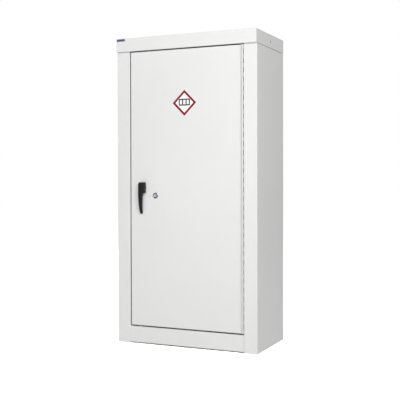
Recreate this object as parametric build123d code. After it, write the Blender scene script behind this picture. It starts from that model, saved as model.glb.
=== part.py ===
from build123d import *
import math
import os

# Single-door steel storage cabinet for hazardous liquids, in millimetres.
# +X is to the right and +Z is up for a person who stands in front of the door,
# and that person is on the -Y side. The origin is the centre of the whole
# object's footprint, on the floor.

# ---- Driving dimensions -----------------------------------------------------------
WIDTH = 602.0                 # carcass, side to side
DEPTH = 310.0                 # carcass, stile face to back
HEIGHT = 1229.5               # floor to the top of the canopy
SHEET = 1.2                   # every folded panel
BEND = 1.8                    # outside radius of a fold

CANOPY_SKIRT = 53.5           # how far the canopy's sides hang down
CANOPY_SIDE = 0.2             # how far it stands out at each side
CANOPY_FRONT = 8.0            # and in front of the stiles
CANOPY_BACK = 2.0             # and behind the carcass
JOGGLE = 1.6                  # the sides step in by this much behind the canopy's skirt
SEAM = 2.2                    # open joint under the skirt

STILE_LEFT = 57.0             # width of the frame beside the door
STILE_RIGHT = 54.0            # and on the hinge side
REVEAL = 25.2                 # depth of the door opening's inner edge
STOP = 14.0                   # width of the flange that the door closes against
REAR_FLANGE = 20.0            # of the sides, behind which the back panel lies
FOOT_FLANGE = 26.0            # of the sides, on the floor
RAIL_LOW = 5.5                # underside of the bottom rail
RAIL_TOP = 70.0               # sill of the door opening

DOOR_LEFT = -239.5
DOOR_RIGHT = 238.5
DOOR_LOW = 75.0
DOOR_TOP = 1172.0
DOOR_DEEP = 22.0
DOOR_LIP = 14.0

KNUCKLES = 63                 # along the whole continuous hinge
KNUCKLE_R = 3.8
KNUCKLE_GAP = 0.4
LEAF_DEEP = 20.0              # back edge of the leaves, behind the stile face
LEAF_NOTCH = 5.0              # each leaf is cut back by this much beside the other's knuckles
HINGE_OUT = 3.0               # hinge axis in front of the stile face
HINGE_X = 242.75              # midway between the door's edge and the stile
PIN_R = 1.5
RUNNING = 0.05                # radial clearance of a running fit

HANDLE_X = -181.0
HANDLE_Z = 628.0
HANDLE_OUT = 18.5             # how far the lever stands out from the door
HEAD_LEFT = -18.5             # the lever's head, from its pivot
HEAD_RIGHT = 11.0
HEAD_TOP = 22.0
HEAD_LOW = -19.0
LEVER_LOW = -105.0            # tip of the blade
BUSH_HOLE_R = 8.0
BUSH_R = 7.9
NUT_BACK = 3.8                # rear face of the handle's nut, behind the door face
SPINDLE_R = 5.0
SPINDLE_NECK_R = 4.5
SQUARE = 6.2                  # spindle tang, across flats
TAPPED_R = 2.0
CAM_BACK = 12.0               # front of the latch cam, behind the door face
CAM_THICK = 3.0
ROD_R = 3.5
ROD_DEEP = 7.5                # rod axis behind the door face
ROD_SIDE = 20.0               # rod axis to the handle axis, across
PIN_ANGLE = 25.0              # cam arm above the horizontal, door latched
ROD_SHORT = 0.6               # rod end short of the frame, so the door can swing
ROD_PLAY = 0.5                # round a rod in its slots
ROD_SWEEP = 6.7               # sideways room for the rod's end halfway through its travel
SLOT_DEEP_PLAY = 0.3
PLATE_SHIFT = 3.2             # slotted plates are centred on the rod's sweep
EYE_HALF = 2.5                # half thickness of a rod's flat eye
EYE_R = 6.8
ROD_RIVET_R = 2.5
ROD_RIVET_HEAD_R = 4.0
CAM_HUB_R = 12.0
CAM_ARM = 13.0                # width of the cam's arms
CAM_NOSE_X = -242.5           # end of the cam's third arm, in the latch keep's slot
CAM_NOSE = 14.0               # its width

LOCK_X = -129.0
LOCK_Z = 597.0
BEZEL_R = 11.5
BEZEL_OUT = 3.0
BARREL_R = 6.0
BARREL_OUT = 3.4
HOUSING_R = 9.4
HOUSING_BACK = 12.0           # behind the door face
TONGUE_BACK = 16.5
TONGUE_THICK = 2.0
TONGUE_LONG = 42.0
TONGUE_HALF = 6.0
TONGUE_ANGLE = 255.0          # from +X, clockwise seen from the front
LOCK_SCREW_R = 1.5

SIGN_X = -1.0
SIGN_Z = 961.0
SIGN_HALF = 52.5              # half diagonal of the diamond
SIGN_THICK = 0.5

SHELF_LEVELS = [370.0, 620.0, 870.0]
SHELF_LIP = 25.0
SLOT_FIRST = 120.0
SLOT_PITCH = 50.0
SLOT_COUNT = 21

# ---- Planes worked out from them --------------------------------------------------
HALF = WIDTH / 2
SKIN_MID = SHEET / 2          # centre line of a sheet, from its face
FRONT = (HANDLE_OUT - DEPTH - CANOPY_BACK) / 2
BACK = FRONT + DEPTH
MID_Y = (FRONT + BACK) / 2
CANOPY_LOW = HEIGHT - CANOPY_SKIRT
SEAM_LOW = CANOPY_LOW - SEAM
CARCASS_TOP = HEIGHT - SHEET - 0.3
OPEN_LEFT = STILE_LEFT - HALF
OPEN_RIGHT = HALF - STILE_RIGHT
DOOR_WIDTH = DOOR_RIGHT - DOOR_LEFT
HINGE_Y = FRONT - HINGE_OUT
STOP_Y = FRONT + REVEAL - SHEET
ROD_Y = FRONT + ROD_DEEP
CAM_Y = FRONT + CAM_BACK
CAM_REAR = CAM_Y + CAM_THICK
PIN_RISE = ROD_SIDE * math.tan(math.radians(PIN_ANGLE))
INNER = HALF - SHEET
SHELF_DEPTH = DEPTH - 40.0
SHELF_Y = FRONT + 32.0 + SHELF_DEPTH / 2
SHELF_WIDTH = 568.0
UPRIGHT_DEEP = 11.8
UPRIGHT_TOP = 1150.0
UPRIGHT_HALF = 12.0           # half width of the raised web
UPRIGHT_FOOT = 20.0           # and of the whole strip
SLOT_HALF = 5.0
SLOT_HIGH = 4.0
CLIP_SHEET = 2.0
CLIP_HALF = 7.0
HOOK_HALF = 4.5
SHELF_SEAT = 3.0              # a shelf rests this far above its level's slot
UPRIGHT_FACE = INNER - UPRIGHT_DEEP - SHEET / 2
UPRIGHT_YS = {"front": FRONT + 58.0, "rear": BACK - 48.0}
FLOOR_TOP = 61.2
TRAY_DEPTH = 262.0
TRAY_WIDTH = 452.0
TRAY_Y = FRONT + 34.0 + TRAY_DEPTH / 2
RIVET_R = 2.0
RIVET_HEAD_R = 3.5
HINGE_RIVET_ZS = [104.0 + 94.5 * i for i in range(12)]
HINGE_RIVET_Y = FRONT + 12.0
CANOPY_SCREW_Z = 1201.0
CANOPY_SCREW_R = 2.5
CANOPY_SCREW_HEAD_R = 2.9
CANOPY_SLOT = (16.0, 6.2)
BUFFER_ZS = [150.0, 470.0, 790.0, 1110.0]
WALL_HOLES = [(x, z) for x in (-200.0, 200.0) for z in (200.0, 1100.0)]
WALL_HOLE_R = 4.0
BACK_RIVETS = [(x, 100.0 + 150.0 * i) for x in (-289.0, 289.0) for i in range(8)]
BADGE_WIDE = (-299.5, -261.5)
BADGE_HIGH = (1217.4, 1227.7)
BADGE_THICK = 0.6
THROUGH = 3.0                 # how far a cutter runs past the sheet it cuts

parts = {}


# ---- Building blocks --------------------------------------------------------------
def slab(x0, x1, y0, y1, z0, z1):
    """A rectangular block between two corners."""
    block = Box(x1 - x0, y1 - y0, z1 - z0)
    return Pos((x0 + x1) / 2, (y0 + y1) / 2, (z0 + z1) / 2) * block


def rod_x(x0, x1, y, z, radius):
    """A cylinder along X."""
    return Pos((x0 + x1) / 2, y, z) * Rot(0, 90, 0) * Cylinder(radius, x1 - x0)


def rod_y(x, y0, y1, z, radius):
    """A cylinder along Y."""
    return Pos(x, (y0 + y1) / 2, z) * Rot(90, 0, 0) * Cylinder(radius, y1 - y0)


def rod_z(x, y, z0, z1, radius):
    """A cylinder along Z."""
    return Pos(x, y, (z0 + z1) / 2) * Cylinder(radius, z1 - z0)


def hex_y(x, y0, y1, z, across_flats):
    """A hexagon nut blank with its axis along Y."""
    corner = across_flats / 2 / math.cos(math.radians(30))
    flat = Plane(origin=(x, y0, z), x_dir=(1, 0, 0), z_dir=(0, 1, 0)) * RegularPolygon(corner, 6)
    return extrude(flat, amount=y1 - y0)


def upright_fold(points, z0, z1):
    """Sheet folded along a plan outline of (x, y) points, standing from z0 to z1."""
    path = FilletPolyline(*points, radius=BEND - SHEET / 2)
    return Pos(0, 0, z0) * extrude(trace(path, line_width=SHEET), amount=z1 - z0)


def cross_fold(points, x0, x1):
    """Sheet folded along a side outline of (y, z) points, running from x0 to x1."""
    path = FilletPolyline(*points, radius=BEND - SHEET / 2)
    section = trace(path, line_width=SHEET)
    plane = Plane(origin=(x0, 0, 0), x_dir=(0, 1, 0), z_dir=(1, 0, 0))
    return extrude(plane * section, amount=x1 - x0)


def pan(width, depth, height, lip):
    """An open-topped tray on z = 0 with folded walls and, if lip > 0, inward top lips."""
    base = (Align.CENTER, Align.CENTER, Align.MIN)

    def rounded(block, radius):
        floor_edges = block.faces().sort_by(Axis.Z)[0].edges()
        return fillet(block.edges().filter_by(Axis.Z) + floor_edges, radius)

    outer = rounded(Box(width, depth, height, align=base), BEND)
    room = Box(width - 2 * SHEET, depth - 2 * SHEET, height, align=base)
    room = Pos(0, 0, SHEET) * rounded(room, BEND - SHEET)
    if lip == 0:
        return outer - room
    below = Pos(0, 0, height - SHEET) * Box(width, depth, height, align=base)
    mouth = Box(width - 2 * lip, depth - 2 * lip, 2 * height, align=base)
    return outer - (room - below) - Pos(0, 0, SHEET) * mouth


def group(pieces):
    """Several separate solids kept as one node."""
    return Compound(children=pieces)


# ---- Carcass ----------------------------------------------------------------------
def side_plan(opening, side_x):
    """Plan outline of a right side's sheet, from the door opening to its outer face at side_x."""
    return [
        (opening - STOP, STOP_Y + SKIN_MID),
        (opening + SKIN_MID, STOP_Y + SKIN_MID),
        (opening + SKIN_MID, FRONT + SKIN_MID),
        (side_x - SKIN_MID, FRONT + SKIN_MID),
        (side_x - SKIN_MID, BACK - SKIN_MID),
        (HALF - REAR_FLANGE, BACK - SKIN_MID),
    ]


def side_panel(opening):
    """Right side, stile, reveal, stop flange and rear flange from one sheet, stepped in behind the canopy."""
    stepped = HALF - JOGGLE
    panel = upright_fold(side_plan(opening, HALF), 0, SEAM_LOW)
    panel += upright_fold(side_plan(opening, stepped), SEAM_LOW - SHEET, CARCASS_TOP)
    ledge = slab(stepped - SHEET, HALF, FRONT, BACK, SEAM_LOW - SHEET, SEAM_LOW)
    outer_corners = ledge.edges().filter_by(Axis.Z).group_by(Axis.X)[-1]
    panel += fillet(outer_corners, BEND)
    panel += slab(HALF - FOOT_FLANGE, HALF - SKIN_MID, FRONT + BEND, BACK - BEND, 0, SHEET)
    panel -= [rod_y(x, BACK - THROUGH, BACK + THROUGH, z, RIVET_R) for x, z in BACK_RIVETS if x > 0]
    return panel - rod_x(HALF - 5, HALF + 5, MID_Y, CANOPY_SCREW_Z, CANOPY_SCREW_R)


def mirrored(part):
    return mirror(part, about=Plane.YZ)


latch_slot_z = (HANDLE_Z - 10.0, HANDLE_Z + 12.0)
latch_slot = slab(OPEN_LEFT - THROUGH, OPEN_LEFT + THROUGH, CAM_Y - 1, CAM_REAR + 1, *latch_slot_z)
parts["side_panel_left"] = mirrored(side_panel(-OPEN_LEFT)) - latch_slot
parts["side_panel_right"] = side_panel(OPEN_RIGHT) - [
    rod_x(OPEN_RIGHT - THROUGH, OPEN_RIGHT + THROUGH, HINGE_RIVET_Y, z, RIVET_R) for z in HINGE_RIVET_ZS
]

back_panel_rear = BACK - SHEET - 0.1
back_panel_front = back_panel_rear - SHEET
back_panel_half = HALF - 5.0
back_panel = slab(-back_panel_half, back_panel_half, back_panel_front, back_panel_rear, 4, CARCASS_TOP - 2)
back_panel -= [rod_y(x, BACK - 9, BACK, z, WALL_HOLE_R) for x, z in WALL_HOLES]
back_panel -= [rod_y(x, BACK - 9, BACK, z, RIVET_R) for x, z in BACK_RIVETS]
parts["back_panel"] = back_panel


def blind_rivet(x, y_head, y_tail, z):
    """A blind rivet along Y with its domed head at y_head, towards +Y."""
    shank = rod_y(x, y_tail, y_head, z, RIVET_R)
    head = rod_y(x, y_head, y_head + 1.0, z, RIVET_HEAD_R)
    bulb = rod_y(x, y_tail - 1.2, y_tail, z, RIVET_R + 0.6)
    return shank + head + bulb


parts["back_panel_rivets"] = group(
    [blind_rivet(x, BACK, back_panel_front, z) for x, z in BACK_RIVETS]
)

canopy_width = WIDTH + 2 * CANOPY_SIDE
canopy_front = FRONT - CANOPY_FRONT
canopy_depth = DEPTH + CANOPY_FRONT + CANOPY_BACK
canopy_y = canopy_front + canopy_depth / 2
canopy = Pos(0, canopy_y, HEIGHT) * Rot(180, 0, 0) * pan(canopy_width, canopy_depth, CANOPY_SKIRT, 0)
return_half = canopy_width / 2 - SKIN_MID
canopy += slab(
    -return_half, return_half, canopy_front + SKIN_MID, FRONT - 0.4, CANOPY_LOW, CANOPY_LOW + SHEET
)
for side in (-1, 1):
    start = (side * (HALF - THROUGH), MID_Y, CANOPY_SCREW_Z)
    slot_face = Plane(origin=start, x_dir=(0, 0, 1), z_dir=(side, 0, 0)) * SlotOverall(*CANOPY_SLOT)
    canopy -= extrude(slot_face, amount=2 * THROUGH)
parts["canopy"] = canopy
screw_seat = HALF - JOGGLE
canopy_screw = rod_x(screw_seat - 8, screw_seat, MID_Y, CANOPY_SCREW_Z, CANOPY_SCREW_R)
canopy_screw += rod_x(screw_seat, HALF - 0.2, MID_Y, CANOPY_SCREW_Z, CANOPY_SCREW_HEAD_R)
parts["canopy_screws"] = group([canopy_screw, mirrored(canopy_screw)])


def coping(z0, z1):
    """The space that the two stiles' stop flanges take out of a cross rail."""
    half_cut = STOP / 2 + 0.5
    return [
        slab(x - half_cut, x + half_cut, STOP_Y - 0.3, STOP_Y + SHEET + 0.3, z0, z1)
        for x in (OPEN_LEFT + STOP / 2, OPEN_RIGHT - STOP / 2)
    ]


def rod_slot(side, y_grow, z0, z1):
    """Clear way for a latch rod, with room for its sideways sweep."""
    x = HANDLE_X + side * ROD_SIDE
    edges = sorted([x - side * (ROD_R + ROD_PLAY), x + side * (ROD_R + ROD_SWEEP)])
    reach = ROD_R + y_grow
    return slab(*edges, ROD_Y - reach, ROD_Y + reach, z0, z1)


STOP_LEG = 12.0               # of the header and the rail, behind the door
header_outline = [
    (STOP_Y + SKIN_MID, CANOPY_LOW - STOP_LEG),
    (STOP_Y + SKIN_MID, CANOPY_LOW + SKIN_MID),
    (FRONT + SKIN_MID, CANOPY_LOW + SKIN_MID),
    (FRONT + SKIN_MID, CARCASS_TOP - SKIN_MID),
    (FRONT + REVEAL, CARCASS_TOP - SKIN_MID),
]
cross_ends = (OPEN_LEFT + 0.2, OPEN_RIGHT - 0.2)
header = cross_fold(header_outline, *cross_ends)
header -= coping(CANOPY_LOW - 20, CARCASS_TOP + 5)
parts["header_channel"] = header - rod_slot(1, SLOT_DEEP_PLAY, CANOPY_LOW - THROUGH, CANOPY_LOW + THROUGH)

rail_outline = [
    (STOP_Y + SKIN_MID, RAIL_TOP + STOP_LEG),
    (STOP_Y + SKIN_MID, RAIL_TOP - SKIN_MID),
    (FRONT + SKIN_MID, RAIL_TOP - SKIN_MID),
    (FRONT + SKIN_MID, RAIL_LOW + SKIN_MID),
    (FRONT + 20, RAIL_LOW + SKIN_MID),
]
rail = cross_fold(rail_outline, *cross_ends)
rail -= coping(-5, RAIL_TOP + 20)
parts["bottom_rail"] = rail - rod_slot(-1, SLOT_DEEP_PLAY, RAIL_TOP - THROUGH, RAIL_TOP + THROUGH)

FLOOR_SKIRT = 22.0
floor_front = FRONT + REVEAL + 0.8
floor_depth = BACK - 3.5 - floor_front
floor_width = 2 * INNER - 1
floor_pan = Rot(180, 0, 0) * pan(floor_width, floor_depth, FLOOR_SKIRT, 0)
parts["floor_panel"] = Pos(0, floor_front + floor_depth / 2, FLOOR_TOP) * floor_pan
PLINTH_TOP = 36.0
PLINTH_DEEP = 22.0
plinth_rear = BACK - 3.2
plinth_outline = [
    (BACK - PLINTH_DEEP, RAIL_LOW + SKIN_MID),
    (plinth_rear, RAIL_LOW + SKIN_MID),
    (plinth_rear, PLINTH_TOP),
    (BACK - PLINTH_DEEP, PLINTH_TOP),
]
parts["rear_plinth"] = cross_fold(plinth_outline, -INNER + 0.3, INNER - 0.3)
TRAY_HIGH = 50.0
TRAY_LIP = 10.0
parts["sump_tray"] = Pos(0, TRAY_Y, FLOOR_TOP + 0.1) * pan(TRAY_WIDTH, TRAY_DEPTH, TRAY_HIGH, TRAY_LIP)

KEEP_THICK = 1.5
KEEP_HALF = 22.0


def keep(side, z0):
    """Plate welded behind a frame flange where a latch rod would engage."""
    x = HANDLE_X + side * (ROD_SIDE + PLATE_SHIFT)
    plate = slab(x - KEEP_HALF, x + KEEP_HALF, FRONT + BEND + 0.2, STOP_Y - 2.5, z0, z0 + KEEP_THICK)
    return plate - rod_slot(side, SLOT_DEEP_PLAY, z0 - 1, z0 + KEEP_THICK + 1)


parts["upper_rod_keep"] = keep(1, CANOPY_LOW + SHEET)
parts["lower_rod_keep"] = keep(-1, RAIL_TOP - SHEET - KEEP_THICK)
keep_x = OPEN_LEFT - SHEET
latch_keep = slab(keep_x - KEEP_THICK, keep_x, FRONT + 5, STOP_Y - 2, HANDLE_Z - 24, HANDLE_Z + 26)
keep_slot = slab(keep_x - THROUGH, keep_x + THROUGH, CAM_Y - 1, CAM_REAR + 1, *latch_slot_z)
parts["latch_keep"] = latch_keep - keep_slot


# ---- Shelving ---------------------------------------------------------------------
def shelf_upright(y):
    """Right-hand slotted strip, hat-shaped in plan, that carries the shelf clips."""
    foot = INNER - SKIN_MID
    web = INNER - UPRIGHT_DEEP
    plan = [
        (foot, y - UPRIGHT_FOOT),
        (foot, y - UPRIGHT_HALF),
        (web, y - UPRIGHT_HALF),
        (web, y + UPRIGHT_HALF),
        (foot, y + UPRIGHT_HALF),
        (foot, y + UPRIGHT_FOOT),
    ]
    strip = upright_fold(plan, FLOOR_TOP + 14, UPRIGHT_TOP)
    return strip - [
        slab(web - THROUGH, web + THROUGH, y - SLOT_HALF, y + SLOT_HALF, z, z + SLOT_HIGH)
        for z in [SLOT_FIRST + SLOT_PITCH * i for i in range(SLOT_COUNT)]
    ]


def shelf_clip(y, top):
    """Bent steel clip under one shelf corner, hooked through an upright's slot."""
    face = UPRIGHT_FACE
    pad = slab(face - 18, face, y - CLIP_HALF, y + CLIP_HALF, top - CLIP_SHEET, top)
    leg = slab(face - CLIP_SHEET, face, y - CLIP_HALF, y + CLIP_HALF, top - 16, top)
    hook = slab(face - CLIP_SHEET, face + 4, y - HOOK_HALF, y + HOOK_HALF, top - CLIP_SHEET, top)
    return pad + leg + hook


clips = []
for row, y in UPRIGHT_YS.items():
    strip = shelf_upright(y)
    parts[f"{row}_upright_right"] = strip
    parts[f"{row}_upright_left"] = mirrored(strip)
    for level in SHELF_LEVELS:
        clip = shelf_clip(y, level + SHELF_SEAT)
        clips += [clip, mirrored(clip)]
parts["shelf_clips"] = group(clips)

for name, level in zip(("lower", "middle", "upper"), SHELF_LEVELS):
    seat = level + SHELF_SEAT
    parts[f"{name}_shelf"] = Pos(0, SHELF_Y, seat) * pan(SHELF_WIDTH, SHELF_DEPTH, SHELF_LIP, 0)


# ---- Continuous hinge -------------------------------------------------------------
hinge_low = DOOR_LOW + 0.5
hinge_high = DOOR_TOP - 0.5
pitch = (hinge_high - hinge_low) / KNUCKLES


def hinge_leaf(x_fixed, first):
    """One leaf with every second knuckle. x_fixed is the face that it is riveted to."""
    inward = math.copysign(1, HINGE_X - x_fixed)
    x0, x1 = sorted([x_fixed, x_fixed + inward * SHEET])
    leaf = slab(x0, x1, FRONT, FRONT + LEAF_DEEP, hinge_low, hinge_high)
    leaf -= [rod_x(x0 - 1, x1 + 1, HINGE_RIVET_Y, z, RIVET_R) for z in HINGE_RIVET_ZS]
    neck_y = HINGE_Y + KNUCKLE_R
    barrels = []
    for i in range(KNUCKLES):
        z0 = hinge_low + pitch * i + KNUCKLE_GAP / 2
        z1 = hinge_low + pitch * (i + 1) - KNUCKLE_GAP / 2
        if i % 2 != first:
            leaf -= slab(x0 - 1, x1 + 1, FRONT - 1, FRONT + LEAF_NOTCH, z0, z1)
            continue
        neck = slab(*sorted([x_fixed, HINGE_X]), neck_y - SHEET, neck_y, z0, z1)
        eye = rod_z(HINGE_X, HINGE_Y, z0, z1, KNUCKLE_R) + neck
        barrels.append(eye - rod_z(HINGE_X, HINGE_Y, z0 - 1, z1 + 1, PIN_R + RUNNING))
    return leaf + barrels


parts["frame_hinge_leaf"] = hinge_leaf(OPEN_RIGHT, 0)
parts["door_hinge_leaf"] = hinge_leaf(DOOR_RIGHT, 1)
parts["hinge_pin"] = rod_z(HINGE_X, HINGE_Y, DOOR_LOW - 0.5, DOOR_TOP + 0.5, PIN_R)


def hinge_rivets(x_fixed):
    """Flush on the leaf, headed on the hidden side of the flange."""
    inward = math.copysign(1, HINGE_X - x_fixed)
    near = x_fixed + inward * SHEET
    far = x_fixed - inward * SHEET
    head = far - inward * 1.2
    pieces = []
    for z in HINGE_RIVET_ZS:
        shank = rod_x(*sorted([near, far]), HINGE_RIVET_Y, z, RIVET_R)
        cap = rod_x(*sorted([far, head]), HINGE_RIVET_Y, z, RIVET_HEAD_R)
        pieces.append(shank + cap)
    return group(pieces)


parts["frame_hinge_rivets"] = hinge_rivets(OPEN_RIGHT)
parts["door_hinge_rivets"] = hinge_rivets(DOOR_RIGHT)

BUFFER_R = 5.0
BUFFER_THICK = 1.6
buffer_x = OPEN_LEFT + STOP - 5.5
parts["door_buffers"] = group(
    [rod_y(buffer_x, STOP_Y - BUFFER_THICK, STOP_Y, z, BUFFER_R) for z in BUFFER_ZS]
)
parts["badge_plate"] = slab(*BADGE_WIDE, canopy_front - BADGE_THICK, canopy_front, *BADGE_HIGH)


# ---- Door -------------------------------------------------------------------------
door_mid = (DOOR_LOW + DOOR_TOP) / 2
door_pan = Rot(-90, 0, 0) * pan(DOOR_WIDTH, DOOR_TOP - DOOR_LOW, DOOR_DEEP, DOOR_LIP)
door = Pos((DOOR_LEFT + DOOR_RIGHT) / 2, FRONT, door_mid) * door_pan
door -= rod_y(HANDLE_X, FRONT - THROUGH, FRONT + THROUGH, HANDLE_Z, BUSH_HOLE_R)
door -= rod_y(LOCK_X, FRONT - THROUGH, FRONT + THROUGH, LOCK_Z, HOUSING_R + 0.1)
door -= rod_slot(1, SLOT_DEEP_PLAY, DOOR_TOP - THROUGH, DOOR_TOP + THROUGH)
door -= rod_slot(-1, SLOT_DEEP_PLAY, DOOR_LOW - THROUGH, DOOR_LOW + THROUGH)
cam_mouth_y = (CAM_Y - 0.8, CAM_REAR + 0.8)
cam_mouth_z = (HANDLE_Z - 8.5, HANDLE_Z + 25.0)
door -= slab(DOOR_LEFT - THROUGH, DOOR_LEFT + THROUGH, *cam_mouth_y, *cam_mouth_z)
door -= [
    rod_x(DOOR_RIGHT - THROUGH, DOOR_RIGHT + THROUGH, HINGE_RIVET_Y, z, RIVET_R) for z in HINGE_RIVET_ZS
]
parts["door_panel"] = door

STIFFENER_X = 50.0
STIFFENER_HALF = 32.0
STIFFENER_DEEP = 18.0
skin_back = FRONT + SHEET + SKIN_MID
stiffener_outline = [
    (STIFFENER_X - STIFFENER_HALF, skin_back),
    (STIFFENER_X - 20, skin_back),
    (STIFFENER_X - 16, FRONT + STIFFENER_DEEP),
    (STIFFENER_X + 16, FRONT + STIFFENER_DEEP),
    (STIFFENER_X + 20, skin_back),
    (STIFFENER_X + STIFFENER_HALF, skin_back),
]
parts["door_stiffener"] = upright_fold(stiffener_outline, DOOR_LOW + 8, DOOR_TOP - 8)

GUIDE_HALF = 15.0
GUIDE_HIGH = 14.0


def rod_guide(side, z0, z1):
    """Plastic guide block behind the skin with the same slot as the door's flange."""
    x = HANDLE_X + side * (ROD_SIDE + PLATE_SHIFT)
    block = slab(x - GUIDE_HALF, x + GUIDE_HALF, FRONT + BEND, FRONT + 16, z0, z1)
    return block - rod_slot(side, 0.2, z0 - 1, z1 + 1)


parts["upper_rod_guide"] = rod_guide(1, DOOR_TOP - GUIDE_HIGH, DOOR_TOP - SHEET)
parts["lower_rod_guide"] = rod_guide(-1, DOOR_LOW + SHEET, DOOR_LOW + GUIDE_HIGH)

sign_plane = Plane(origin=(SIGN_X, FRONT, SIGN_Z), x_dir=(1, 0, 0), z_dir=(0, -1, 0))
diamond = Rot(0, 0, 45) * Rectangle(SIGN_HALF * math.sqrt(2), SIGN_HALF * math.sqrt(2))
parts["hazard_sign"] = extrude(sign_plane * diamond, amount=SIGN_THICK)


# ---- Lever handle and latch -------------------------------------------------------
def lever_outline():
    """Lever seen from the front, hanging down, as (x, z) from its pivot."""
    corners = [
        (HEAD_LEFT, HEAD_TOP),
        (HEAD_RIGHT, HEAD_TOP),
        (HEAD_RIGHT, HEAD_LOW),
        (1.5, HEAD_LOW - 3),
        (-2, LEVER_LOW),
        (-13.5, LEVER_LOW),
        (HEAD_LEFT, HEAD_LOW - 4),
    ]
    return make_face(FilletPolyline(*corners, radius=3.0, close=True))


def lever_side():
    """Lever seen from the side, as (distance out from the door, z) from its pivot."""
    head_back = 3.0
    shoulder = (HANDLE_OUT, -30)
    blade_back = (10.5, -34)
    tip_front = (5.5, LEVER_LOW)
    tip_back = (3.5, LEVER_LOW + 3.5)
    head = Polyline(blade_back, (8, -22), (head_back, -20), (head_back, HEAD_TOP), (11, HEAD_TOP))
    slope = Polyline((11, HEAD_TOP), (HANDLE_OUT, 14), shoulder)
    front = Bezier(shoulder, (HANDLE_OUT, -75), (18, LEVER_LOW), tip_front)
    tip = Line(tip_front, tip_back)
    back = Bezier(tip_back, (11, -98), (10.5, -72), blade_back)
    return make_face(head + slope + front + tip + back)


front_face = Plane(origin=(HANDLE_X, FRONT, HANDLE_Z), x_dir=(1, 0, 0), z_dir=(0, -1, 0))
side_face = Plane(origin=(HANDLE_X + HEAD_LEFT - 5, FRONT, HANDLE_Z), x_dir=(0, -1, 0), z_dir=(-1, 0, 0))
lever = extrude(front_face * lever_outline(), amount=HANDLE_OUT)
lever &= extrude(side_face * lever_side(), amount=-40)
spindle_front = FRONT - 12.0
parts["handle_lever"] = lever - rod_y(HANDLE_X, spindle_front, FRONT, HANDLE_Z, SPINDLE_R)

nut_back = FRONT + NUT_BACK
bush = rod_y(HANDLE_X, FRONT - 2.6, FRONT, HANDLE_Z, 9.8)
bush += rod_y(HANDLE_X, FRONT, nut_back, HANDLE_Z, BUSH_R)
bush_bore = rod_y(HANDLE_X, FRONT - THROUGH, nut_back + 1, HANDLE_Z, SPINDLE_R + RUNNING)
parts["handle_bush"] = bush - bush_bore
handle_nut = hex_y(HANDLE_X, FRONT + SHEET, nut_back, HANDLE_Z, 22)
parts["handle_nut"] = handle_nut - rod_y(HANDLE_X, FRONT, nut_back + 1, HANDLE_Z, BUSH_R)

half_square = SQUARE / 2
spindle = rod_y(HANDLE_X, spindle_front, nut_back, HANDLE_Z, SPINDLE_R)
spindle += rod_y(HANDLE_X, nut_back, CAM_Y, HANDLE_Z, SPINDLE_NECK_R)
tang_x = (HANDLE_X - half_square, HANDLE_X + half_square)
tang_z = (HANDLE_Z - half_square, HANDLE_Z + half_square)
tang = slab(*tang_x, CAM_Y, CAM_REAR, *tang_z)
screw_tip = CAM_Y - 6.0
tapped = rod_y(HANDLE_X, screw_tip, CAM_REAR + 1, HANDLE_Z, TAPPED_R)
parts["handle_spindle"] = spindle + tang - tapped


def cam_disc(dx, dz, radius):
    return rod_y(HANDLE_X + dx, CAM_Y, CAM_REAR, HANDLE_Z + dz, radius)


rod_pins = [(ROD_SIDE, PIN_RISE), (-ROD_SIDE, -PIN_RISE)]
cam = cam_disc(0, 0, CAM_HUB_R)
for dx, dz in rod_pins:
    arm = Rot(0, -PIN_ANGLE, 0) * Box(math.hypot(dx, dz), CAM_THICK, CAM_ARM)
    arm_place = Pos(HANDLE_X + dx / 2, CAM_Y + CAM_THICK / 2, HANDLE_Z + dz / 2)
    cam += arm_place * arm + cam_disc(dx, dz, CAM_ARM / 2)
nose_z = (HANDLE_Z - CAM_NOSE / 2, HANDLE_Z + CAM_NOSE / 2)
cam += slab(CAM_NOSE_X, HANDLE_X, CAM_Y, CAM_REAR, *nose_z)
cam -= tang
cam -= [cam_disc(dx, dz, ROD_RIVET_R) for dx, dz in rod_pins]
parts["latch_cam"] = cam

washer_rear = CAM_REAR + 1.0
cam_washer = rod_y(HANDLE_X, CAM_REAR, washer_rear, HANDLE_Z, 7)
parts["cam_washer"] = cam_washer - rod_y(HANDLE_X, CAM_REAR - 1, washer_rear + 1, HANDLE_Z, TAPPED_R)
cam_screw_head = hex_y(HANDLE_X, washer_rear, washer_rear + 2.8, HANDLE_Z, 7)
parts["cam_screw"] = cam_screw_head + rod_y(HANDLE_X, screw_tip, washer_rear, HANDLE_Z, TAPPED_R)

eye_front = ROD_Y - EYE_HALF
eye_back = ROD_Y + EYE_HALF


def rod_rivet(dx, dz):
    """Shouldered rivet that a rod's eye turns on, set in the cam."""
    x = HANDLE_X + dx
    z = HANDLE_Z + dz
    shank = rod_y(x, eye_front - 0.1, CAM_REAR, z, ROD_RIVET_R)
    collar = rod_y(x, eye_back + 0.2, CAM_Y, z, ROD_RIVET_HEAD_R)
    front_head = rod_y(x, eye_front - 1.3, eye_front - 0.1, z, ROD_RIVET_HEAD_R)
    rear_head = rod_y(x, CAM_REAR, CAM_REAR + 1, z, ROD_RIVET_HEAD_R)
    return shank + collar + front_head + rear_head


parts["rod_rivets"] = group([rod_rivet(dx, dz) for dx, dz in rod_pins])


def latch_rod(side, z_end):
    """Round rod with a flat eye at the cam and a chamfered far end."""
    x = HANDLE_X + side * ROD_SIDE
    z_pin = HANDLE_Z + side * PIN_RISE
    z0, z1 = sorted([z_pin + side * (EYE_R - 0.8), z_end])
    rod = rod_z(x, ROD_Y, z0, z1, ROD_R)
    tip = rod.edges().filter_by(GeomType.CIRCLE).sort_by(Axis.Z)[-1 if side > 0 else 0]
    rod = chamfer(tip, 1.2)
    eye = rod_y(x, eye_front, eye_back, z_pin, EYE_R)
    return rod + eye - rod_y(x, eye_front - 1, eye_back + 1, z_pin, ROD_RIVET_R + RUNNING)


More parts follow.
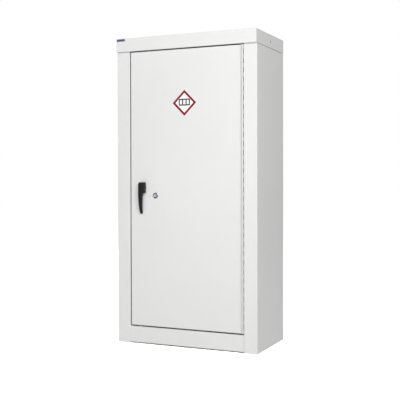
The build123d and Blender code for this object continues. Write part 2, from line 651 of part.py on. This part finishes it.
parts["upper_latch_rod"] = latch_rod(1, CANOPY_LOW - ROD_SHORT)
parts["lower_latch_rod"] = latch_rod(-1, RAIL_TOP + ROD_SHORT)

# ---- Lock -------------------------------------------------------------------------
lock_rear = FRONT + HOUSING_BACK
tongue_y = FRONT + TONGUE_BACK
tongue_rear = tongue_y + TONGUE_THICK
bezel = rod_y(LOCK_X, FRONT - BEZEL_OUT, FRONT, LOCK_Z, BEZEL_R)
bezel = chamfer(bezel.edges().filter_by(GeomType.CIRCLE).sort_by(Axis.Y)[0], 1.5)
housing = bezel + rod_y(LOCK_X, FRONT, lock_rear, LOCK_Z, HOUSING_R)
lock_bore = rod_y(LOCK_X, FRONT - BEZEL_OUT - 1, lock_rear + 1, LOCK_Z, BARREL_R + RUNNING)
parts["lock_housing"] = housing - lock_bore
lock_nut = hex_y(LOCK_X, FRONT + SHEET, FRONT + 5.2, LOCK_Z, 24)
parts["lock_nut"] = lock_nut - rod_y(LOCK_X, FRONT, FRONT + 6, LOCK_Z, HOUSING_R)

barrel_front = FRONT - BARREL_OUT
barrel = rod_y(LOCK_X, barrel_front, tongue_y, LOCK_Z, BARREL_R)
keyway = slab(LOCK_X - 0.7, LOCK_X + 0.7, barrel_front - 1, barrel_front + 3, LOCK_Z - 3.8, LOCK_Z + 3.8)
screw_start = tongue_y - 5.0
parts["lock_barrel"] = barrel - keyway - rod_y(LOCK_X, screw_start, tongue_y + 1, LOCK_Z, LOCK_SCREW_R)
tongue = slab(-7, TONGUE_LONG, tongue_y, tongue_rear, -TONGUE_HALF, TONGUE_HALF)
tongue = Pos(LOCK_X, 0, LOCK_Z) * Rot(0, -TONGUE_ANGLE, 0) * tongue
parts["lock_tongue"] = tongue - rod_y(LOCK_X, tongue_y - 1, tongue_rear + 1, LOCK_Z, LOCK_SCREW_R)
lock_screw = rod_y(LOCK_X, screw_start, tongue_rear, LOCK_Z, LOCK_SCREW_R)
parts["lock_screw"] = lock_screw + rod_y(LOCK_X, tongue_rear, tongue_rear + 2, LOCK_Z, 3.2)

os.makedirs("parts", exist_ok=True)
for name, part in parts.items():
    export_step(part, f"parts/{name}.step")
print(len(parts), "nodes")
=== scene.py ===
import math

import bmesh
import bpy
from mathutils import Matrix, Vector


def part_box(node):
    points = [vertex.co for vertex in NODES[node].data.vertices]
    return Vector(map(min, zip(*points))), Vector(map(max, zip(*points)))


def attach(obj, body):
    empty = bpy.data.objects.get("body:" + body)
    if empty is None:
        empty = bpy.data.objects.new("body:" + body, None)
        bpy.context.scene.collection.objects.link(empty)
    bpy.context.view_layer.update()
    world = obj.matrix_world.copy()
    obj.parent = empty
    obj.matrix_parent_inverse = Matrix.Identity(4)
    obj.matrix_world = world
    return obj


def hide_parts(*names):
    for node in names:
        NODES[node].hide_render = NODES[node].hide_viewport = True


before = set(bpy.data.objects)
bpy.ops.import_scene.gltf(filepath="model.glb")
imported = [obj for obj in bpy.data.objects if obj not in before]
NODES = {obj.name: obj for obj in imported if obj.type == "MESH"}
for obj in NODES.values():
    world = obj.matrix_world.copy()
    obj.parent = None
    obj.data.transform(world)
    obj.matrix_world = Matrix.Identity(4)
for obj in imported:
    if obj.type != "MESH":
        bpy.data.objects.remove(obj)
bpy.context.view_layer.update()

MM = 0.001

# ---- Camera, lights and floor -------------------------------------------------------
CAMERA_X = 1.3421                     # metres, in the shared frame
CAMERA_OUT = 2.8207                   # in front of the stile face
CAMERA_Z = 0.6759
CAMERA_YAW = math.radians(24.354)
CAMERA_PITCH = math.radians(-0.66)
CAMERA_ROLL = math.radians(-0.128)
CAMERA_LENS = 71.85                   # millimetres
CAMERA_SENSOR = 36                    # millimetres wide
CAMERA_SHIFT_Y = -0.0378

AIM = (0.1, 0, 0.7)                   # all the lamps point here
WIDE_LAMP = 1.6                       # metres across
SMALL_LAMP = 0.5                      # for the harder shadows
WORLD_LIGHT = 0.3
FLOOR_RADIUS = 14.0
FLOOR_SIDES = 96
FLOOR_GAIN = 3.4

STILE_FACE_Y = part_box("side_panel_right")[0][1]


def make_camera():
    """A viewpoint to the right of the door, at about half the cabinet's height."""
    cos_yaw, sin_yaw = math.cos(CAMERA_YAW), math.sin(CAMERA_YAW)
    cos_pitch, sin_pitch = math.cos(CAMERA_PITCH), math.sin(CAMERA_PITCH)
    ahead = Vector((-sin_yaw * cos_pitch, cos_yaw * cos_pitch, sin_pitch))
    level = Vector((cos_yaw, sin_yaw, 0))
    above = level.cross(ahead)
    right = math.cos(CAMERA_ROLL) * level + math.sin(CAMERA_ROLL) * above
    up = right.cross(ahead)
    camera = bpy.data.objects.new("camera", bpy.data.cameras.new("camera"))
    camera.data.lens = CAMERA_LENS
    camera.data.sensor_width = CAMERA_SENSOR
    camera.data.shift_y = CAMERA_SHIFT_Y
    turn = Matrix((right, up, -ahead)).transposed()
    place = (CAMERA_X, STILE_FACE_Y - CAMERA_OUT, CAMERA_Z)
    camera.matrix_world = Matrix.Translation(place) @ turn.to_4x4()
    bpy.context.collection.objects.link(camera)
    bpy.context.scene.camera = camera


def softbox(name, place, size, power):
    """A square area light at place, pointing at the cabinet."""
    data = bpy.data.lights.new(name, "AREA")
    data.size = size
    data.energy = power
    lamp = bpy.data.objects.new(name, data)
    lamp.location = place
    lamp.rotation_euler = (Vector(AIM) - Vector(place)).to_track_quat("-Z", "Y").to_euler()
    bpy.context.collection.objects.link(lamp)


def make_world(strength):
    """White to the eye, and a weaker even light on the object."""
    world = bpy.data.worlds.new("studio")
    world.use_nodes = True
    tree = world.node_tree
    tree.nodes.clear()
    light = tree.nodes.new("ShaderNodeBackground")
    light.inputs["Color"].default_value = (1, 1, 1, 1)
    light.inputs["Strength"].default_value = strength
    seen = tree.nodes.new("ShaderNodeBackground")
    seen.inputs["Color"].default_value = (1, 1, 1, 1)
    seen.inputs["Strength"].default_value = 1.0
    path = tree.nodes.new("ShaderNodeLightPath")
    mix = tree.nodes.new("ShaderNodeMixShader")
    out = tree.nodes.new("ShaderNodeOutputWorld")
    tree.links.new(path.outputs["Is Camera Ray"], mix.inputs[0])
    tree.links.new(light.outputs[0], mix.inputs[1])
    tree.links.new(seen.outputs[0], mix.inputs[2])
    tree.links.new(mix.outputs[0], out.inputs["Surface"])
    bpy.context.scene.world = world


# ---- Materials ----------------------------------------------------------------------
# colour of the painted shade laid into tight joints and gaps
PAINTED_SHADE = (0.10, 0.09, 0.08)
JOINT_REACH = 0.014                   # painted shade darkens a surface that is shut in this closely
JOINT_OPEN = (0.12, 0.46)             # from full painted shade to none, as a share of the open view
OCCLUSION_SAMPLES = 12


class Surface:
    """A Principled material, and short calls for the nodes that vary it."""

    def __init__(self, name, **sockets):
        self.material = bpy.data.materials.new(name)
        self.material.use_nodes = True
        self.tree = self.material.node_tree
        self.shader = self.tree.nodes["Principled BSDF"]
        for socket, value in sockets.items():
            self.shader.inputs[socket.replace("_", " ")].default_value = value
        self.place = self.tree.nodes.new("ShaderNodeTexCoord").outputs["Object"]
        self.height = None

    def link(self, a, b):
        self.tree.links.new(a, b)

    def noise(self, scale, detail, stretch=(1, 1, 1)):
        """Noise in object space. scale is in cycles per metre."""
        mapping = self.tree.nodes.new("ShaderNodeMapping")
        mapping.inputs["Scale"].default_value = stretch
        self.link(self.place, mapping.inputs["Vector"])
        node = self.tree.nodes.new("ShaderNodeTexNoise")
        node.inputs["Scale"].default_value = scale
        node.inputs["Detail"].default_value = detail
        self.link(mapping.outputs[0], node.inputs["Vector"])
        return node.outputs["Fac"]

    def ramp(self, value, low, high, from_low=0.3, from_high=0.7):
        """value from from_low..from_high as a number from low to high."""
        node = self.tree.nodes.new("ShaderNodeMapRange")
        node.inputs["From Min"].default_value = from_low
        node.inputs["From Max"].default_value = from_high
        node.inputs["To Min"].default_value = low
        node.inputs["To Max"].default_value = high
        self.link(value, node.inputs["Value"])
        return node.outputs["Result"]

    def blend(self, value, colour_a, colour_b):
        """A colour from a to b as value goes from 0 to 1. Either colour may be a socket."""
        node = self.tree.nodes.new("ShaderNodeMix")
        node.data_type = "RGBA"
        self.link(value, node.inputs["Factor"])
        for socket, colour in zip(("A", "B"), (colour_a, colour_b)):
            target = next(i for i in node.inputs if i.name == socket and i.type == "RGBA")
            if isinstance(colour, bpy.types.NodeSocket):
                self.link(colour, target)
            else:
                target.default_value = (*colour, 1)
        return next(o for o in node.outputs if o.type == "RGBA")

    def crevice_shade(self, socket, dark):
        """The colour in socket, darkened towards dark as painted shade where the surface is nearly
        shut in.
        """
        node = self.tree.nodes.new("ShaderNodeAmbientOcclusion")
        node.samples = OCCLUSION_SAMPLES
        node.inputs["Distance"].default_value = JOINT_REACH
        return self.blend(self.ramp(node.outputs["AO"], 0.0, 1.0, *JOINT_OPEN), dark, socket)

    def colour(self, socket):
        self.link(socket, self.shader.inputs["Base Color"])

    def roughness(self, socket):
        self.link(socket, self.shader.inputs["Roughness"])

    def bump(self, value, depth, strength):
        """Adds a relief of depth metres to those before it."""
        node = self.tree.nodes.new("ShaderNodeBump")
        node.inputs["Strength"].default_value = strength
        node.inputs["Distance"].default_value = depth
        self.link(value, node.inputs["Height"])
        if self.height is not None:
            self.link(self.height, node.inputs["Normal"])
        self.height = node.outputs["Normal"]
        self.link(self.height, self.shader.inputs["Normal"])


def powder_coat(name, light, dark):
    """Satin powder coat: orange peel, fine grain, slight changes of tone, painted shade in tight
    joints.
    """
    s = Surface(name, Specular_IOR_Level=0.45)
    tone = s.ramp(s.noise(2.2, 3), 0.0, 1.0)
    speck = s.ramp(s.noise(900, 2), 0.0, 0.35, 0.45, 0.75)
    coat = s.blend(speck, s.blend(tone, light, dark), dark)
    # tight joints and gaps are darkened as painted shade
    s.colour(s.crevice_shade(coat, PAINTED_SHADE))
    s.roughness(s.ramp(s.noise(60, 3), 0.36, 0.46))
    s.bump(s.noise(420, 2), 0.00005, 0.35)
    s.bump(s.noise(2600, 2), 0.00001, 0.25)
    return s.material


def zinc_plate(name, light=(0.62, 0.63, 0.64), dark=(0.46, 0.47, 0.49), rough=(0.24, 0.42)):
    """Bright zinc on steel: cloudy tone and fine drawing lines."""
    s = Surface(name, Metallic=1.0)
    s.colour(s.blend(s.ramp(s.noise(90, 4), 0, 1), light, dark))
    s.roughness(s.ramp(s.noise(240, 3, (1, 1, 0.08)), *rough))
    s.bump(s.noise(900, 2, (1, 1, 0.04)), 0.00002, 0.3)
    return s.material


def moulded_plastic(name, light, dark, rough, shine=0.5):
    """Moulded plastic with spark-eroded grain."""
    s = Surface(name, Specular_IOR_Level=shine)
    s.colour(s.blend(s.ramp(s.noise(120, 3), 0, 1), light, dark))
    s.roughness(s.ramp(s.noise(500, 2), *rough))
    s.bump(s.noise(2400, 3), 0.00003, 0.5)
    return s.material


def printed_vinyl(name, light, dark):
    """Printed film: slight ink mottle under a thin gloss."""
    s = Surface(name, Specular_IOR_Level=0.5, Coat_Weight=0.25, Coat_Roughness=0.12)
    s.colour(s.blend(s.ramp(s.noise(650, 3), 0, 1), light, dark))
    s.roughness(s.ramp(s.noise(90, 2), 0.22, 0.34))
    s.bump(s.noise(260, 2), 0.00001, 0.2)
    return s.material


def floor_paint(name, gain):
    """Pale studio floor. The camera sees it gain times brighter, so it burns out to white."""
    s = Surface(name)
    s.colour(s.blend(s.ramp(s.noise(3, 3), 0, 1), (0.76, 0.76, 0.76), (0.73, 0.73, 0.73)))
    s.roughness(s.ramp(s.noise(8, 2), 0.75, 0.9))
    bright = s.tree.nodes.new("ShaderNodeBsdfDiffuse")
    bright.inputs["Color"].default_value = (gain, gain, gain, 1)
    path = s.tree.nodes.new("ShaderNodeLightPath")
    mix = s.tree.nodes.new("ShaderNodeMixShader")
    s.link(path.outputs["Is Camera Ray"], mix.inputs[0])
    s.link(s.shader.outputs[0], mix.inputs[1])
    s.link(bright.outputs[0], mix.inputs[2])
    s.link(mix.outputs[0], s.tree.nodes["Material Output"].inputs["Surface"])
    return s.material


def make_floor(material):
    """A wide round floor at the height that the cabinet stands on."""
    mesh = bpy.data.meshes.new("studio_floor")
    bm = bmesh.new()
    bmesh.ops.create_circle(bm, cap_ends=True, radius=FLOOR_RADIUS, segments=FLOOR_SIDES)
    bm.to_mesh(mesh)
    bm.free()
    mesh.materials.append(material)
    floor = bpy.data.objects.new("studio_floor", mesh)
    bpy.context.collection.objects.link(floor)


# ---- Mesh building ------------------------------------------------------------------
MERGE_WITHIN = 1e-7
SOFT_ANGLE = math.radians(30)
SOFT_SEGMENTS = 3
LATHE_STEPS = 72
CORNER_STEPS = 6


def piece(name, bm, material, body, sharp=None):
    """A finished piece: smooth shaded, riding on a body, with its material in one slot."""
    bmesh.ops.remove_doubles(bm, verts=bm.verts, dist=MERGE_WITHIN)
    bmesh.ops.recalc_face_normals(bm, faces=bm.faces)
    mesh = bpy.data.meshes.new(name)
    bm.to_mesh(mesh)
    bm.free()
    mesh.materials.append(material)
    mesh.shade_smooth()
    if sharp is not None:
        mesh.set_sharp_from_angle(angle=math.radians(sharp))
    thing = bpy.data.objects.new(name, mesh)
    bpy.context.collection.objects.link(thing)
    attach(thing, body)
    return thing


def soften(thing, width):
    """Rounds the edges that are sharper than SOFT_ANGLE."""
    bevel = thing.modifiers.new("soft_edges", "BEVEL")
    bevel.width = width
    bevel.segments = SOFT_SEGMENTS
    bevel.limit_method = "ANGLE"
    bevel.angle_limit = SOFT_ANGLE
    bevel.harden_normals = True


def skin(bm, rings, closed=False):
    """Quads between rings of the same length, and end caps unless the last joins the first."""
    loops = [[bm.verts.new(p) for p in ring] for ring in rings]
    count = len(loops[0])
    pairs = list(zip(loops, loops[1:]))
    if closed:
        pairs.append((loops[-1], loops[0]))
    for a, b in pairs:
        for i in range(count):
            j = (i + 1) % count
            bm.faces.new((a[i], a[j], b[j], b[i]))
    if not closed:
        bm.faces.new(loops[0])
        bm.faces.new(reversed(loops[-1]))


def lathe(bm, profile, centre):
    """Turns a closed (radius, distance out from the door) profile about a line along Y."""
    rings = []
    for i in range(LATHE_STEPS):
        turn = 2 * math.pi * i / LATHE_STEPS
        rings.append([
            centre + Vector((r * math.cos(turn), -out, r * math.sin(turn))) for r, out in profile
        ])
    skin(bm, rings, closed=True)


def rounded_corners(corners, radius):
    """A flat outline with each corner replaced by a curve that starts that far from it."""
    outline = []
    count = len(corners)
    for i in range(count):
        corner = Vector(corners[i])
        before = (Vector(corners[i - 1]) - corner).normalized()
        after = (Vector(corners[(i + 1) % count]) - corner).normalized()
        start = corner + before * radius
        end = corner + after * radius
        for k in range(CORNER_STEPS + 1):
            t = k / CORNER_STEPS
            outline.append((1 - t) ** 2 * start + 2 * t * (1 - t) * corner + t ** 2 * end)
    return outline


def slab_from(bm, outline, y_front, y_back):
    """A flat plate: an outline of (x, z) between two distances along Y."""
    skin(bm, [[(p[0], y, p[1]) for p in outline] for y in (y_front, y_back)])


def frame_from(bm, outer, inner, y_front, y_back):
    """A flat ring between two outlines of (x, z) with the same number of points."""
    rings = [
        [(p[0], y_front, p[1]) for p in outer],
        [(p[0], y_front, p[1]) for p in inner],
        [(p[0], y_back, p[1]) for p in inner],
        [(p[0], y_back, p[1]) for p in outer],
    ]
    skin(bm, rings, closed=True)


def bezier(t, a, b, c, d):
    """A point on the cubic curve from a to d."""
    u = 1 - t
    return tuple(
        u ** 3 * p + 3 * u * u * t * q + 3 * u * t * t * r + t ** 3 * w
        for p, q, r, w in zip(a, b, c, d)
    )


# ---- Lever --------------------------------------------------------------------------
LEVER_LOW, LEVER_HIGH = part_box("handle_lever")
DOOR_FACE_Y = STILE_FACE_Y            # the shut door is flush with the stiles
HEAD_LEFT, HEAD_RIGHT, HEAD_TOP = -18.5, 11.0, 22.0       # millimetres from the pivot
HEAD_OUT, HEAD_BACK = 18.5, 3.0       # millimetres from the door
# Control points of the blade's front and back edge: (distance out, height) in millimetres.
BLADE_FRONT = ((HEAD_OUT, -30.0), (18.2, -68.0), (15.6, -94.0), (5.6, -104.9))
BLADE_BACK = ((10.4, -33.0), (10.4, -62.0), (9.4, -86.0), (3.6, -101.8))
LEVER_PIVOT = Vector((LEVER_LOW.x - HEAD_LEFT * MM, DOOR_FACE_Y, LEVER_HIGH.z - HEAD_TOP * MM))
BLADE_STATIONS = 9
LEVER_SUBDIVISIONS = 3


def lever_section(front, back, left, right, corner):
    """One ring round the lever. front and back are (distance out, height) in millimetres."""
    front, back = Vector(front), Vector(back)
    inward = (back - front).normalized() * corner
    rim = [
        (left + corner, front),
        (right - corner, front),
        (right, front + inward),
        (right, back - inward),
        (right - corner, back),
        (left + corner, back),
        (left, back - inward),
        (left, front + inward),
    ]
    return [LEVER_PIVOT + Vector((x, -p.x, p.y)) * MM for x, p in rim]


def head_sections():
    """The block over the spindle: chamfered at its top front, stepped in to the blade."""
    out, back = HEAD_OUT, HEAD_BACK
    left, right, top = HEAD_LEFT, HEAD_RIGHT, HEAD_TOP
    return [
        lever_section((9.5, top), (4.5, top), left + 1.5, right - 1.5, 1.0),
        lever_section((10.4, top), (3.2, top), left + 0.3, right - 0.3, 1.2),
        lever_section((11.3, top - 0.7), (back, top - 0.7), left, right, 1.4),
        lever_section((12.6, top - 2.0), (back, top - 2.4), left, right, 1.4),
        lever_section((17.2, 15.6), (back, 16.0), left, right, 1.4),
        lever_section((out - 0.1, 14.0), (back, 14.0), left, right, 1.4),
        lever_section((out, 11.6), (back, 11.6), left, right, 1.4),
        lever_section((out, -13.0), (back, -13.5), left, right, 1.4),
        lever_section((out, -18.3), (back, -19.1), left, right, 1.4),
        lever_section((out, -19.1), (3.4, -19.9), left, right - 0.3, 1.4),
        lever_section((out, -19.5), (5.0, -20.4), left, right - 2.6, 1.4),
        lever_section((out, -20.0), (8.4, -21.2), left, 3.4, 1.6),
        lever_section((out, -22.8), (10.0, -24.0), left, 1.7, 1.8),
    ]


def blade_sections():
    """The tapered grip, which curls in towards the door at its tip."""
    rings = []
    for i in range(BLADE_STATIONS):
        t = i / (BLADE_STATIONS - 1)
        front = bezier(t, *BLADE_FRONT)
        back = bezier(t, *BLADE_BACK)
        left = HEAD_LEFT + 5.4 * t ** 0.9
        right = 1.3 - 4.6 * t + 1.4 * t ** 6
        rings.append(lever_section(front, back, left, right, 2.0 - 1.1 * t))
    return rings


def make_lever(material):
    bm = bmesh.new()
    skin(bm, head_sections() + blade_sections())
    lever = piece("lever_grip", bm, material, "handle")
    smooth = lever.modifiers.new("smooth", "SUBSURF")
    smooth.levels = LEVER_SUBDIVISIONS
    smooth.render_levels = LEVER_SUBDIVISIONS
    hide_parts("handle_lever")


# ---- Lock ---------------------------------------------------------------------------
LOCK_LOW, LOCK_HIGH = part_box("lock_housing")
LOCK_CENTRE = Vector(((LOCK_LOW.x + LOCK_HIGH.x) / 2, DOOR_FACE_Y, (LOCK_LOW.z + LOCK_HIGH.z) / 2))
LOCK_REAR = (LOCK_HIGH.y - DOOR_FACE_Y) / MM
THREAD_PITCH = 1.0
THREAD_START = 1.3                    # behind the door face
THREAD_LESS = 2.5                     # at least this much behind the face has no thread
ROOT_AT = 0.45                        # of a pitch


def bezel_profile():
    """Half section of the lock's body: rimmed bezel, groove, inner collar and threaded rear."""
    bore, thread, root, rim = 6.08, 9.35, 8.95, 11.5
    profile = [
        (bore, 2.4), (bore + 0.5, 2.95), (7.9, 2.95), (8.3, 2.1), (9.0, 1.9), (9.5, 2.5),
        (10.4, 2.75), (11.1, 2.3), (rim, 1.4), (rim, 0.0), (thread, 0.0), (thread, -THREAD_START),
    ]
    turns = int((LOCK_REAR - THREAD_LESS) / THREAD_PITCH)
    for i in range(turns):
        start = -THREAD_START - THREAD_PITCH * i
        profile += [(root, start - ROOT_AT * THREAD_PITCH), (thread, start - THREAD_PITCH)]
    profile += [(root, -LOCK_REAR + 0.3), (root - 0.3, -LOCK_REAR), (bore, -LOCK_REAR)]
    return [(r * MM, out * MM) for r, out in profile]


def make_lock(material):
    bm = bmesh.new()
    lathe(bm, bezel_profile(), LOCK_CENTRE)
    bezel = piece("lock_bezel", bm, material, "door", sharp=35)
    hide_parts("lock_housing")


# ---- Sign and badge -----------------------------------------------------------------
SIGN_LOW, SIGN_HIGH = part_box("hazard_sign")
SIGN_MID = ((SIGN_LOW.x + SIGN_HIGH.x) / 2, (SIGN_LOW.z + SIGN_HIGH.z) / 2)
SIGN_REACH = (SIGN_HIGH.x - SIGN_LOW.x) / 2
SIGN_FACE = 0.34 * MM                 # face, border and mark stand this far off the door
SIGN_PRINT = 0.42 * MM
SIGN_RIM = 1.4 * MM                   # white outside the border
BORDER_WIDE = 12.2 * MM               # along the diamond's axes
DRUM_HALF = (24.5 * MM, 13.5 * MM)
DRUM_LINE = 4.8 * MM
DRUM_RISE = 2.5 * MM
RIB_PLACES = (-7.6 * MM, 7.6 * MM)
SIGN_CORNER = 1.2 * MM
BORDER_CORNER = 0.8 * MM              # of the border's inner edge
DRUM_CORNERS = (5.0 * MM, 2.5 * MM)   # outer and inner
RIB_CORNER = 0.2 * MM
RIB_LAP = 0.1 * MM                    # of a rib over the drum's outline
BADGE_CORNERS = (1.6 * MM, 1.2 * MM)  # of the backing and of the panel
BADGE_MARGIN = 0.9 * MM
BADGE_STEP = 0.15 * MM                # the backing's front, behind the panel's
BADGE_PANEL_BACK = 0.2 * MM           # the panel's back, in front of the backing's
BADGE_SOFT = 0.12 * MM


def diamond(reach, radius):
    x, z = SIGN_MID
    corners = [(x - reach, z), (x, z - reach), (x + reach, z), (x, z + reach)]
    return rounded_corners(corners, radius)


def rectangle(x, z, half_x, half_z, radius):
    corners = [(x + a * half_x, z + b * half_z) for a, b in ((-1, -1), (1, -1), (1, 1), (-1, 1))]
    return rounded_corners(corners, radius)


def make_sign(white, red, ink):
    """White diamond, red border and a plain drum lying on its side."""
    bm = bmesh.new()
    slab_from(bm, diamond(SIGN_REACH, SIGN_CORNER), DOOR_FACE_Y - SIGN_FACE, DOOR_FACE_Y)
    face = piece("sign_face", bm, white, "door", sharp=30)
    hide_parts("hazard_sign")
    bm = bmesh.new()
    y_print = (DOOR_FACE_Y - SIGN_PRINT, DOOR_FACE_Y - SIGN_FACE)
    outer = diamond(SIGN_REACH - SIGN_RIM, SIGN_CORNER)
    inner = diamond(SIGN_REACH - SIGN_RIM - BORDER_WIDE, BORDER_CORNER)
    frame_from(bm, outer, inner, *y_print)
    piece("sign_border", bm, red, "door", sharp=30)
    bm = bmesh.new()
    x, z = SIGN_MID[0], SIGN_MID[1] + DRUM_RISE
    half_x, half_z = DRUM_HALF
    outer = rectangle(x, z, half_x, half_z, DRUM_CORNERS[0])
    inner = rectangle(x, z, half_x - DRUM_LINE, half_z - DRUM_LINE, DRUM_CORNERS[1])
    frame_from(bm, outer, inner, *y_print)
    for rib in RIB_PLACES:
        bar = rectangle(x + rib, z, DRUM_LINE / 2, half_z - DRUM_LINE + RIB_LAP, RIB_CORNER)
        slab_from(bm, bar, *y_print)
    piece("sign_mark", bm, ink, "door", sharp=30)


def make_badge(blue, rim_material):
    """Plain domed strip with a thin rim."""
    low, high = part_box("badge_plate")
    x, z = (low.x + high.x) / 2, (low.z + high.z) / 2
    half_x, half_z = (high.x - low.x) / 2, (high.z - low.z) / 2
    bm = bmesh.new()
    backing_outline = rectangle(x, z, half_x, half_z, BADGE_CORNERS[0])
    slab_from(bm, backing_outline, low.y + BADGE_STEP, high.y)
    backing = piece("badge_backing", bm, rim_material, "carcass", sharp=30)
    soften(backing, BADGE_SOFT)
    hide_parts("badge_plate")
    bm = bmesh.new()
    panel_outline = rectangle(x, z, half_x - BADGE_MARGIN, half_z - BADGE_MARGIN, BADGE_CORNERS[1])
    slab_from(bm, panel_outline, low.y, high.y - BADGE_PANEL_BACK)
    soften(piece("badge_panel", bm, blue, "carcass", sharp=30), BADGE_SOFT)


# ---- Finishes of the CAD nodes ------------------------------------------------------
def finish_nodes(finishes):
    """Gives each CAD node in the lists the material it is listed under."""
    for material, names in finishes:
        for name in names:
            for slot in NODES[name].material_slots:
                slot.link = "OBJECT"
                slot.material = material


make_camera()
make_world(WORLD_LIGHT)
softbox("front_key", (0.9, -3.2, 2.3), WIDE_LAMP, 30)
softbox("right_key", (1.8, -3.0, 2.4), WIDE_LAMP, 34)
softbox("shadow_key", (3.3, -2.75, 2.9), SMALL_LAMP, 70)
softbox("low_fill", (0.2, -3.6, 1.2), WIDE_LAMP, 16.5)
softbox("rear_fill", (-2.2, 2.6, 2.2), WIDE_LAMP, 30)

paint = powder_coat("cabinet_paint", (0.752, 0.752, 0.748), (0.725, 0.725, 0.720))
# a darker copy of the cabinet paint: painted shade on the hinge band
shaded_hinge_paint = powder_coat("shaded_hinge_paint", (0.66, 0.66, 0.65), (0.61, 0.61, 0.60))
shelf_paint = powder_coat("shelf_paint", (0.80, 0.80, 0.795), (0.77, 0.77, 0.765))
zinc = zinc_plate("zinc_plate")
dark_zinc = zinc_plate("dark_screw", (0.16, 0.16, 0.16), (0.09, 0.09, 0.09))
black = moulded_plastic(
    "black_nylon", (0.012, 0.012, 0.013), (0.007, 0.007, 0.008), (0.40, 0.52), shine=0.3
)
natural = moulded_plastic("natural_nylon", (0.78, 0.77, 0.72), (0.72, 0.71, 0.66), (0.4, 0.5))
rubber = moulded_plastic("buffer_rubber", (0.035, 0.035, 0.035), (0.02, 0.02, 0.02), (0.6, 0.75))
white_film = printed_vinyl("sign_white", (0.93, 0.93, 0.93), (0.90, 0.90, 0.90))
red_film = printed_vinyl("sign_red", (0.27, 0.002, 0.005), (0.22, 0.002, 0.004))
ink_film = printed_vinyl("sign_ink", (0.030, 0.034, 0.032), (0.018, 0.020, 0.020))
blue_film = printed_vinyl("badge_blue", (0.085, 0.115, 0.215), (0.055, 0.080, 0.170))
pale_film = printed_vinyl("badge_rim", (0.42, 0.45, 0.55), (0.36, 0.39, 0.50))
satin_chrome = zinc_plate("barrel_chrome", (0.86, 0.88, 1.0), (0.78, 0.80, 0.93), (0.42, 0.52))
dull_chrome = zinc_plate("bezel_chrome", (0.42, 0.41, 0.47), (0.30, 0.29, 0.35), (0.16, 0.28))

finish_nodes([
    (paint, [
        "side_panel_left", "side_panel_right", "back_panel", "canopy", "header_channel", "bottom_rail",
        "floor_panel", "rear_plinth", "door_panel", "door_stiffener",
    ]),
    (shaded_hinge_paint, ["frame_hinge_leaf", "door_hinge_leaf"]),
    (shelf_paint, ["lower_shelf", "middle_shelf", "upper_shelf", "sump_tray"]),
    (zinc, [
        "back_panel_rivets", "frame_hinge_rivets", "door_hinge_rivets", "hinge_pin", "upper_rod_keep",
        "lower_rod_keep", "latch_keep", "shelf_clips", "front_upright_left", "front_upright_right",
        "rear_upright_left", "rear_upright_right", "handle_nut", "handle_spindle", "latch_cam",
        "cam_washer", "cam_screw", "rod_rivets", "upper_latch_rod", "lower_latch_rod", "lock_nut",
        "lock_tongue", "lock_screw",
    ]),
    (dark_zinc, ["canopy_screws"]),
    (black, ["handle_lever", "handle_bush"]),
    (natural, ["upper_rod_guide", "lower_rod_guide"]),
    (rubber, ["door_buffers"]),
    (white_film, ["hazard_sign"]),
    (blue_film, ["badge_plate"]),
    (satin_chrome, ["lock_barrel"]),
    (dull_chrome, ["lock_housing"]),
])
make_lever(black)
make_lock(dull_chrome)
make_sign(white_film, red_film, ink_film)
make_badge(blue_film, pale_film)
make_floor(floor_paint("studio_floor", FLOOR_GAIN))

bpy.context.scene.view_settings.view_transform = "Standard"
